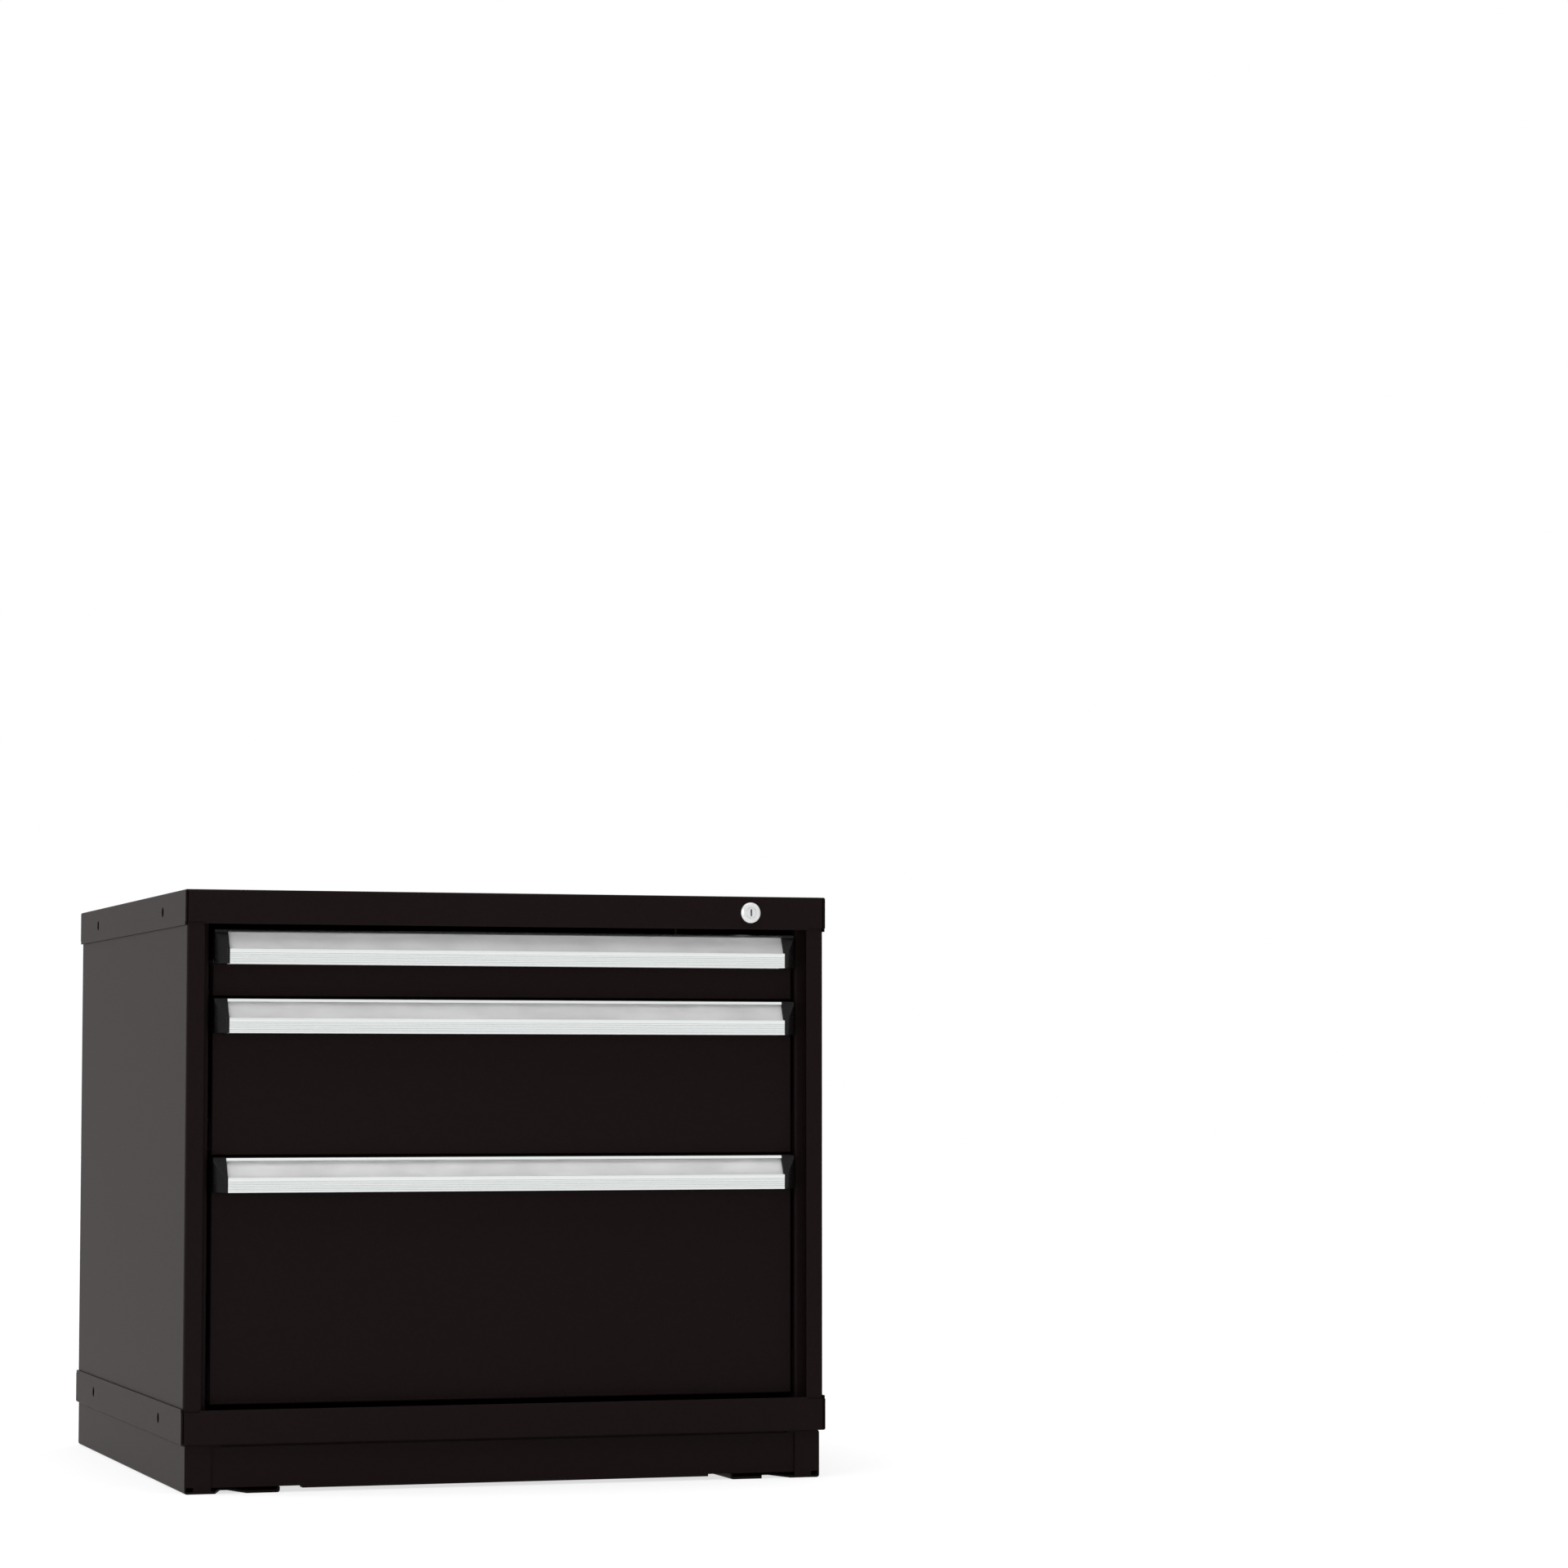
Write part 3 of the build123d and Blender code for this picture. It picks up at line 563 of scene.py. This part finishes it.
satin = satin_aluminium()
for number in drawer_numbers:
    node = f"drawer_{number}_handle"
    low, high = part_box(node)
    grip_reach = high.y - low.y
    height = high.z - low.z
    grip_back = grip_reach - grip_wall
    bead_back = grip_reach - grip_bead
    lip_back = lip_reach - lip_wall
    ledge = grip_top + handle_wall
    ribs = []
    for rib in range(rib_count):
        drop = height - rib_rise - (rib_count - 1 - rib) * rib_pitch
        ribs += [
            (grip_reach, drop - rib_mouth / 2), (grip_reach - rib_depth, drop),
            (grip_reach, drop + rib_mouth / 2)]
    section = [
        (0, lip_top), (lip_reach - lip_lean, lip_top), (lip_reach, lip_drop),
        (lip_back, lip_drop), (lip_back - lip_lean / 2, handle_wall),
        (seat(handle_wall), handle_wall), (seat(grip_top), grip_top),
        (grip_reach, grip_top), *ribs, (grip_reach, height),
        (bead_back, height), (bead_back, height - handle_wall),
        (grip_back, height - handle_wall), (grip_back, ledge),
        (seat(ledge) - handle_wall, ledge), (handle_wall, lip_drop + handle_wall),
        (handle_wall, height), (0, height),
    ]
    mesh = extruded(low, high, section)
    corners = [
        e for e in mesh.edges
        if abs(e.verts[0].co.x - e.verts[1].co.x) > shortest_run
        and square_corner[0] < e.calc_face_angle() < square_corner[1]
        and e.verts[0].co.y > low.y - rib_depth / 2
    ]
    round_edges(mesh, corners, extrusion_round)
    piece = new_piece(f"drawer_{number}_pull", mesh, satin)
    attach(piece, f"drawer_{number}")
    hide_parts(node)

# End caps
# Moulded black plastic caps close the ends of each pull. They carry on its outer form, and are cut
# away towards the drawer's edge.
cap_dark = (0.0036, 0.0030, 0.0030, 1.0)
cap_light = (0.0066, 0.0058, 0.0058, 1.0)
cap_grain = 0.8 * mm
cap_flat = 3.0 * mm
cap_round = 0.6 * mm
cap_crease = radians(15)
cap_plastic = moulded_black("cap_plastic", cap_dark, cap_light, cap_grain)
for number in drawer_numbers:
    for side, sign in (("left", -1), ("right", 1)):
        node = f"drawer_{number}_{side}_end_cap"
        low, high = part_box(node)
        reach = high.y - low.y
        height = high.z - low.z
        section = [
            (0, lip_top), (lip_reach, lip_top), (lip_reach, lip_drop), (reach, grip_top),
            (reach, height), (0, height)]
        mesh = extruded(low, high, section)
        inner_x, outer_x = (low.x, high.x) if sign > 0 else (high.x, low.x)
        near = Vector((inner_x + sign * cap_flat, high.y - reach, 0))
        far = Vector((outer_x, high.y - lip_reach, 0))
        away = Vector((sign * (far.y - near.y), -abs(far.x - near.x), 0))
        cut = bmesh.ops.bisect_plane(
            mesh, geom=mesh.verts[:] + mesh.edges[:] + mesh.faces[:], plane_co=near,
            plane_no=away, clear_outer=True)
        cut_edges = [e for e in cut["geom_cut"] if isinstance(e, bmesh.types.BMEdge)]
        bmesh.ops.edgeloop_fill(mesh, edges=cut_edges)
        bmesh.ops.recalc_face_normals(mesh, faces=mesh.faces)
        creases = [e for e in mesh.edges if e.calc_face_angle() > cap_crease]
        round_edges(mesh, creases, cap_round)
        piece = new_piece(f"drawer_{number}_{side}_pull_cap", mesh, cap_plastic)
        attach(piece, f"drawer_{number}")
        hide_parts(node)

# Label cards and their covers
# A blank card of white paper stands on the ledge of each pull. A bowed strip of clear plastic lies
# over it and clips in behind the lip.
card_white = (0.65, 0.65, 0.65, 1.0)
card_grey = (0.53, 0.53, 0.53, 1.0)
card_smudge = 26 * mm
card_smudge_stretch = (2.0, 1.0, 1.0)
card_fibre = 0.5 * mm
card_roughness = (0.6, 0.8)
strip_tint = (0.92, 0.92, 0.92, 1.0)
strip_cover = 0.05
strip_haze = 20 * mm
strip_roughness = (0.10, 0.22)
strip_wall = 0.5 * mm
strip_gap = 0.3 * mm
strip_bow = 0.7 * mm
strip_rows = 8
strip_tuck = 2.3 * mm


def label_paper():
    material, tree, shader = new_finish("label_paper")
    smudge = grain(tree, card_smudge, patchy_detail, card_smudge_stretch)
    fibre = grain(tree, card_fibre)
    tree.links.new(shades(tree, smudge, card_grey, card_white), shader.inputs["Base Color"])
    tree.links.new(spread(tree, fibre, *card_roughness), shader.inputs["Roughness"])
    return material


def clear_strip():
    material, tree, shader = new_finish("clear_strip")
    haze = grain(tree, strip_haze, patchy_detail)
    shader.inputs["Base Color"].default_value = strip_tint
    shader.inputs["Alpha"].default_value = strip_cover
    tree.links.new(spread(tree, haze, *strip_roughness), shader.inputs["Roughness"])
    return material


paper = label_paper()
strip = clear_strip()
for number in drawer_numbers:
    dress(f"drawer_{number}_label_card", paper)
    low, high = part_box(f"drawer_{number}_handle")
    card_low, card_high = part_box(f"drawer_{number}_label_card")
    card_lean = seat_slope * (card_high.z - card_low.z)
    stand_off = card_high.y - card_low.y - card_lean + strip_gap
    foot = high.z - grip_top + strip_gap
    head = high.z - strip_tuck
    corners = (
        (card_low.x, foot), (card_high.x, foot), (card_high.x, head), (card_low.x, head))
    mesh = bmesh.new()
    mesh.faces.new([
        mesh.verts.new((x, high.y - seat(high.z - z) - stand_off, z)) for x, z in corners])
    ends = [e for e in mesh.edges if abs(e.verts[0].co.x - e.verts[1].co.x) < strip_gap]
    bmesh.ops.subdivide_edges(mesh, edges=ends, cuts=strip_rows - 1, use_grid_fill=True)
    for v in mesh.verts:
        v.co.y -= strip_bow * sin(pi * (v.co.z - foot) / (head - foot))
    bmesh.ops.solidify(mesh, geom=mesh.faces, thickness=-strip_wall)
    bmesh.ops.recalc_face_normals(mesh, faces=mesh.faces)
    piece = new_piece(f"drawer_{number}_label_strip", mesh, strip)
    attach(piece, f"drawer_{number}")
    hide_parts(f"drawer_{number}_label_cover")

# Floor
# A plain pale studio floor. The eye sees it lit nearly to white, so that the cabinet's shadow stays
# light. Below the cabinet lies a patch of the floor without that glow, a painted shade, as it is
# dark there below a real one.
floor_half = 30.0
floor_pale = (0.8, 0.8, 0.8, 1.0)
floor_fleck = (0.78, 0.78, 0.78, 1.0)
floor_grain = 3 * mm
floor_roughness = 0.9
floor_lit = 0.7
# Size and place of the patch of painted shade below the cabinet
under_half = 0.30
under_front = -0.20
under_rear = 0.365
under_rise = 0.2 * mm


def seen_by_eye(tree):
    """1 where a surface is seen straight, in a reflection or through something clear, or else 0."""
    ray = tree.nodes.new("ShaderNodeLightPath")
    reflected = tree.nodes.new("ShaderNodeMath")
    reflected.operation = "MAXIMUM"
    seen = tree.nodes.new("ShaderNodeMath")
    seen.operation = "MAXIMUM"
    tree.links.new(ray.outputs["Is Camera Ray"], reflected.inputs[0])
    tree.links.new(ray.outputs["Is Glossy Ray"], reflected.inputs[1])
    tree.links.new(reflected.outputs[0], seen.inputs[0])
    tree.links.new(ray.outputs["Is Transmission Ray"], seen.inputs[1])
    return seen.outputs[0]


def studio_floor(name, lit):
    material, tree, shader = new_finish(name)
    fleck = shades(tree, grain(tree, floor_grain), floor_fleck, floor_pale)
    tree.links.new(fleck, shader.inputs["Base Color"])
    shader.inputs["Roughness"].default_value = floor_roughness
    shader.inputs["Specular IOR Level"].default_value = 0.0
    share = tree.nodes.new("ShaderNodeMath")
    share.operation = "MULTIPLY"
    share.inputs[1].default_value = lit
    white = tree.nodes.new("ShaderNodeEmission")
    surface = tree.nodes.new("ShaderNodeMixShader")
    tree.links.new(seen_by_eye(tree), share.inputs[0])
    tree.links.new(share.outputs[0], surface.inputs[0])
    tree.links.new(shader.outputs[0], surface.inputs[1])
    tree.links.new(white.outputs[0], surface.inputs[2])
    tree.links.new(surface.outputs[0], tree.nodes["Material Output"].inputs["Surface"])
    return material


mesh = bmesh.new()
bmesh.ops.create_grid(mesh, x_segments=1, y_segments=1, size=floor_half)
new_piece("floor", mesh, studio_floor("studio_floor", floor_lit))
# Painted shade: a copy of the floor without its glow, laid below the cabinet where its shade falls
under_size = (under_half, (under_rear - under_front) / 2, 1.0)
under_middle = Vector((0, (under_rear + under_front) / 2, under_rise))
mesh = bmesh.new()
bmesh.ops.create_grid(mesh, x_segments=1, y_segments=1, size=1.0)
bmesh.ops.scale(mesh, verts=mesh.verts, vec=under_size)
bmesh.ops.translate(mesh, verts=mesh.verts, vec=under_middle)
new_piece("painted_shade_under_cabinet", mesh, studio_floor("painted_shade_floor", 0.0))

# Studio light
# A dim even room under a bright ceiling, a weak lamp at the left of the front, and a stronger one
# for the left side. Seen straight, in a reflection or through something clear, the room is white.
room_level = 0.20
ceiling_level = 6.4
ceiling_edge = 0.75
white_level = 1.0
lamps = (
    ("key_lamp", Vector((-2.80, -3.35, 1.20)), 1.2, 30),
    ("side_lamp", Vector((-3.60, 1.00, 0.60)), 1.0, 120),
)
world = bpy.data.worlds.new("studio")
bpy.context.scene.world = world
world.use_nodes = True
tree = world.node_tree
background = tree.nodes["Background"]
background.inputs["Color"].default_value = (1.0, 1.0, 1.0, 1.0)
direction = tree.nodes.new("ShaderNodeTexCoord")
rise = tree.nodes.new("ShaderNodeSeparateXYZ")
sky = tree.nodes.new("ShaderNodeMapRange")
sky.inputs["From Min"].default_value = ceiling_edge
sky.inputs["To Min"].default_value = room_level
sky.inputs["To Max"].default_value = ceiling_level
level = tree.nodes.new("ShaderNodeMix")
level.inputs["B"].default_value = white_level
tree.links.new(direction.outputs["Generated"], rise.inputs["Vector"])
tree.links.new(rise.outputs["Z"], sky.inputs["Value"])
tree.links.new(seen_by_eye(tree), level.inputs["Factor"])
tree.links.new(sky.outputs["Result"], level.inputs["A"])
tree.links.new(level.outputs["Result"], background.inputs["Strength"])
middle = (cad_box[0] + cad_box[1]) / 2
for name, place, size, power in lamps:
    lamp = bpy.data.lights.new(name, "AREA")
    lamp.size = size
    lamp.energy = power
    stand = bpy.data.objects.new(name, lamp)
    stand.location = place
    stand.rotation_euler = (middle - place).to_track_quat("-Z", "Y").to_euler()
    bpy.context.scene.collection.objects.link(stand)

# Camera
# It stands low to the left of the front, 5.2 m away, and looks slightly up past the cabinet.
camera_place = Vector((-1.2926, -5.3821, 0.4576))
camera_turn = radians(17.956)
camera_lift = radians(3.87)
camera = bpy.data.cameras.new("camera")
camera.sensor_width = 36.0
camera.lens = 102.52
camera_stand = bpy.data.objects.new("camera", camera)
camera_stand.location = camera_place
camera_stand.rotation_euler = (pi / 2 + camera_lift, 0, -camera_turn)
bpy.context.scene.collection.objects.link(camera_stand)
bpy.context.scene.camera = camera_stand
bpy.context.scene.view_settings.view_transform = "Standard"
